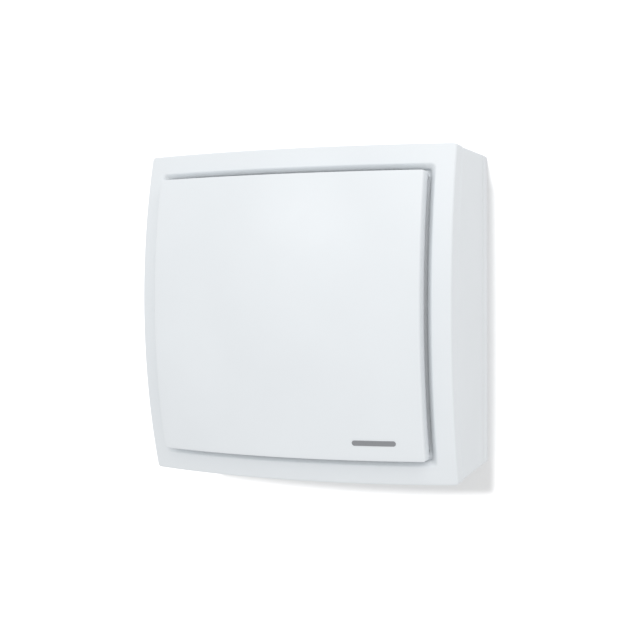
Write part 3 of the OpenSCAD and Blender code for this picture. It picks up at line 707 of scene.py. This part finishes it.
# ------------------------------------------------------------------ housing
def housing():
    y0 = H_HI.y                              # rear edge
    h, t = HH, WALL
    rings = []

    def mix(hw, r, back, t_, y=y0):
        return [(x, y + (dome(x, z, back) - y) * t_, z) for x, z in outline(hw, -hw, hw, r)]

    e = 0.0005
    rings.append(ring(h - e, -h + e, h - e, 0.0034, y=y0))
    rings.append(ring(h - e * 0.3, -h + e * 0.3, h - e * 0.3, 0.0034, y=y0 - e * 0.3))
    rings.append(ring(h, -h, h, 0.0034, y=y0 - e))
    for k in range(1, 10):
        rings.append(mix(h, 0.0034, SKIRT + SEAM + e, k / 9, y0 - e))
    rings.append(ring(h - e * 0.3, -h + e * 0.3, h - e * 0.3, 0.0034, SKIRT + SEAM + e * 0.3))
    rings.append(ring(h - e, -h + e, h - e, 0.003, SKIRT + SEAM))
    g = HALF - WALL - 0.0002                 # tongue inside the skirt
    rings.append(ring(g, -g, g, 0.002, SKIRT + SEAM))
    rings.append(ring(g, -g, g, 0.002, SKIRT - 0.0055))
    rings.append(ring(g - 0.0005, -g + 0.0005, g - 0.0005, 0.002, SKIRT - 0.006))
    rings.append(ring(g - 0.0015, -g + 0.0015, g - 0.0015, 0.002, SKIRT - 0.006))
    rings.append(ring(g - 0.002, -g + 0.002, g - 0.002, 0.0015, SKIRT - 0.0055))
    rings.append(ring(g - 0.002, -g + 0.002, g - 0.002, 0.0015, SKIRT + 0.008))
    rings.append(ring(h - t, -h + t, h - t, 0.0015, SKIRT + 0.0085))
    for k in range(1, 5):
        a, b = rings[-1], None
        rings.append([(p[0], p[1] + (y0 - p[1]) * (k / 4 if k < 4 else 1), p[2]) for p in rings[-1]] if k == 4 else
                     [(p[0], p[1] + (y0 - p[1]) / (5 - k), p[2]) for p in rings[-1]])
    return rings_mesh("housing_walls", rings, closed=True)


house = housing()
holes = []
for x in (-0.120, 0.120):
    holes.append(lathe([(0, -0.3), (0.0022, -0.3), (0.0022, 0.3), (0, 0.3)], 32, (x, -T_HI.y - 0.025, 0), "z"))
house = boolean(house, holes)
parts = [house]
for x, z in POSTS:
    sx, sz = (1 if x > 0 else -1), (1 if z > 0 else -1)
    parts.append(lathe([(0.0019, -0.170), (0.0048, -0.170), (0.005, -0.1698), (0.005, -0.024), (0.0019, -0.024), (0.0019, -0.170)], 40, (x, 0, z)))
    a, b = sorted((x + sx * 0.0045, sx * (HH - 0.001)))
    parts.append(box_mesh(a, b, -0.130, -0.032, z - 0.0015, z + 0.0015))
add("housing_walls", join_meshes("housing_walls", parts), MAT["case_white"], "unit", ["housing_shell"])

# ------------------------------------------------------------------ mounting tray
def tray():
    h, t = HH, WALL
    yf = -0.0192
    rings = []
    base = ring(h - 0.0012, -h + 0.0012, h - 0.0012, 0.003, y=0.0)
    n = 10
    for k in range(1, n + 1):
        rings.append(scaled(base, k / n, y=0.0))
    for k in range(1, 6):
        a = math.radians(90 * k / 5)
        i = 0.0012 * (1 - math.sin(a))
        rings.append(ring(h - i, -h + i, h - i, 0.0034 - i * 0.4, y=-0.0012 * (1 - math.cos(a))))
    rings.append(ring(h, -h, h, 0.0034, y=yf + 0.0004))
    rings.append(ring(h - 0.0004, -h + 0.0004, h - 0.0004, 0.0034, y=yf))
    g = h - t - 0.0002
    rings.append(ring(g, -g, g, 0.0015, y=yf))
    rings.append(ring(g, -g, g, 0.0015, y=-0.0295))
    rings.append(ring(g - 0.0005, -g + 0.0005, g - 0.0005, 0.0015, y=-0.030))
    rings.append(ring(g - 0.0025, -g + 0.0025, g - 0.0025, 0.0012, y=-0.030))
    rings.append(ring(g - 0.0025, -g + 0.0025, g - 0.0025, 0.0012, y=-0.004))
    last = rings[-1]
    for k in range(n - 1, 0, -1):
        rings.append(scaled(last, k / n, y=-0.004))
    return rings_mesh("wall_tray", rings, (0, 0, 0), (0, -0.004, 0))


tools = []
for s in (-1, 1):
    x, z = s * 0.110, -0.110
    tools.append(lathe([(0, 0.005), (0.062, 0.005), (0.062, -0.002), (0.0503, -0.002), (0.0503, -0.0029), (0.0562, -0.003), (0.0562, -0.010), (0, -0.010)], 96, (x, 0, z)))
tools.append(cyl(0.009, -0.010, 0.005, 0, 0.172))
for sx in (-1, 1):
    for sz in (-1, 1):
        tools.append(rounded_prism(sx * 0.150 - 0.007, sx * 0.150 + 0.007, sz * 0.176 - 0.003, sz * 0.176 + 0.003, 0.003, -0.010, 0.005, 8))
for x in (-0.120, 0.120):
    tools.append(lathe([(0, -0.3), (0.0017, -0.3), (0.0017, 0.3), (0, 0.3)], 32, (x, -0.025, 0), "z"))
add("wall_tray", boolean(tray(), tools), MAT["case_white"], "unit", ["mounting_tray"])

# ------------------------------------------------------------------ badge
def badge():
    lo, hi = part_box("badge")
    x0, x1, z0, z1 = lo.x, hi.x, lo.z, hi.z
    cx, cz = (x0 + x1) / 2, (z0 + z1) / 2
    hw, hz = (x1 - x0) / 2, (z1 - z0) / 2
    rings = []
    for inset, b in ((0, -PROUD + 0.0002), (0, -PROUD - 0.0002), (0.0001, -PROUD - 0.0004), (0.0004, -PROUD - 0.00055), (0.0008, -PROUD - 0.0006)):
        o = outline(hw - inset, -hz + inset, hz - inset, hz - inset - 1e-4, side=12, arc=8)
        rings.append([(cx + x, dome(cx + x, cz + z, b), cz + z) for x, z in o])
    return rings_mesh("badge_bar", rings, (cx, dome(cx, cz, -PROUD + 0.0002), cz), (cx, dome(cx, cz, -PROUD - 0.0006), cz))


add("badge_bar", badge(), MAT["badge_grey"], "panel", ["badge"])

# ------------------------------------------------------------------ stage and light
def plane(name, verts):
    me = bpy.data.meshes.new(name)
    me.from_pydata(verts, [], [(0, 1, 2, 3)])
    o = bpy.data.objects.new(name, me)
    scene.collection.objects.link(o)
    return o


fm, nt, b = tree("pale_floor")
v = coords(nt)
nt.links.new(ramp(nt, noise(nt, v, 3.0), [(0.3, (0.86, 0.86, 0.86)), (0.7, (0.9, 0.9, 0.9))]), b.inputs["Base Color"])
b.inputs["Roughness"].default_value = 0.8
floor = plane("floor", [(-8, -8, -1.6), (8, -8, -1.6), (8, 8, -1.6), (-8, 8, -1.6)])
floor.data.materials.append(fm)

# wall seen only from the front, so that the back of the unit can be viewed
wm = bpy.data.materials.new("pale_wall")
wm.use_nodes = True
nt = wm.node_tree
b = nt.nodes["Principled BSDF"]
out = nt.nodes["Material Output"]
v = coords(nt)
nt.links.new(ramp(nt, noise(nt, v, 3.0), [(0.3, (0.93, 0.93, 0.93)), (0.7, (0.95, 0.95, 0.95))]), b.inputs["Base Color"])
b.inputs["Roughness"].default_value = 0.9
b.inputs["Specular IOR Level"].default_value = 0.1
geo = nt.nodes.new("ShaderNodeNewGeometry")
tr = nt.nodes.new("ShaderNodeBsdfTransparent")
mix = nt.nodes.new("ShaderNodeMixShader")
nt.links.new(geo.outputs["Backfacing"], mix.inputs[0])
nt.links.new(b.outputs[0], mix.inputs[1])
nt.links.new(tr.outputs[0], mix.inputs[2])
nt.links.new(mix.outputs[0], out.inputs["Surface"])
wall = plane("wall", [(-4, 0.0006, -1.6), (4, 0.0006, -1.6), (4, 0.0006, 3), (-4, 0.0006, 3)])
wall.data.materials.append(wm)
wall.visible_shadow = False
wall.visible_diffuse = False
wall.visible_glossy = False
wall.visible_transmission = False

world = bpy.data.worlds.new("world")
scene.world = world
world.use_nodes = True
bg = world.node_tree.nodes["Background"]
bg.inputs["Color"].default_value = (1, 1, 1, 1)
bg.inputs["Strength"].default_value = 0.785


def area(name, loc, target, size, power, color=(1, 1, 1)):
    l = bpy.data.lights.new(name, "AREA")
    l.shape = "RECTANGLE"
    l.size, l.size_y = size
    l.energy = power
    l.color = color
    o = bpy.data.objects.new(name, l)
    scene.collection.objects.link(o)
    o.location = loc
    o.rotation_euler = (Vector(target) - Vector(loc)).to_track_quat("-Z", "Y").to_euler()
    return o


def link(light, name, objs, state):
    """Limits what a light falls on."""
    c = bpy.data.collections.new(name)
    for o in objs:
        c.objects.link(o)
    light.light_linking.receiver_collection = c
    for m in c.collection_objects:
        m.light_linking.link_state = state


key = area("key", (1.3, -2.2, 2.1), (0, -0.1, 0), (2.8, 2.8), 25)
soft = area("soft_front", (-0.86, -3.2, 1.28), (0, -0.2, 0.05), (0.8, 0.8), 6.5)
for n, l in (("key_falls_on", key), ("soft_falls_on", soft)):
    link(l, n, [wall], "EXCLUDE")
# light that falls on the wall only, past the unit
sun = bpy.data.lights.new("wall_wash", "SUN")
sun.energy = 2.3
sun.angle = math.radians(6)
wash = bpy.data.objects.new("wall_wash", sun)
scene.collection.objects.link(wash)
wash.rotation_euler = Vector((0.06, 1.0, -0.271)).to_track_quat("-Z", "Y").to_euler()
link(wash, "wash_falls_on", [wall], "INCLUDE")

scene.view_settings.view_transform = "Standard"
scene.view_settings.look = "None"
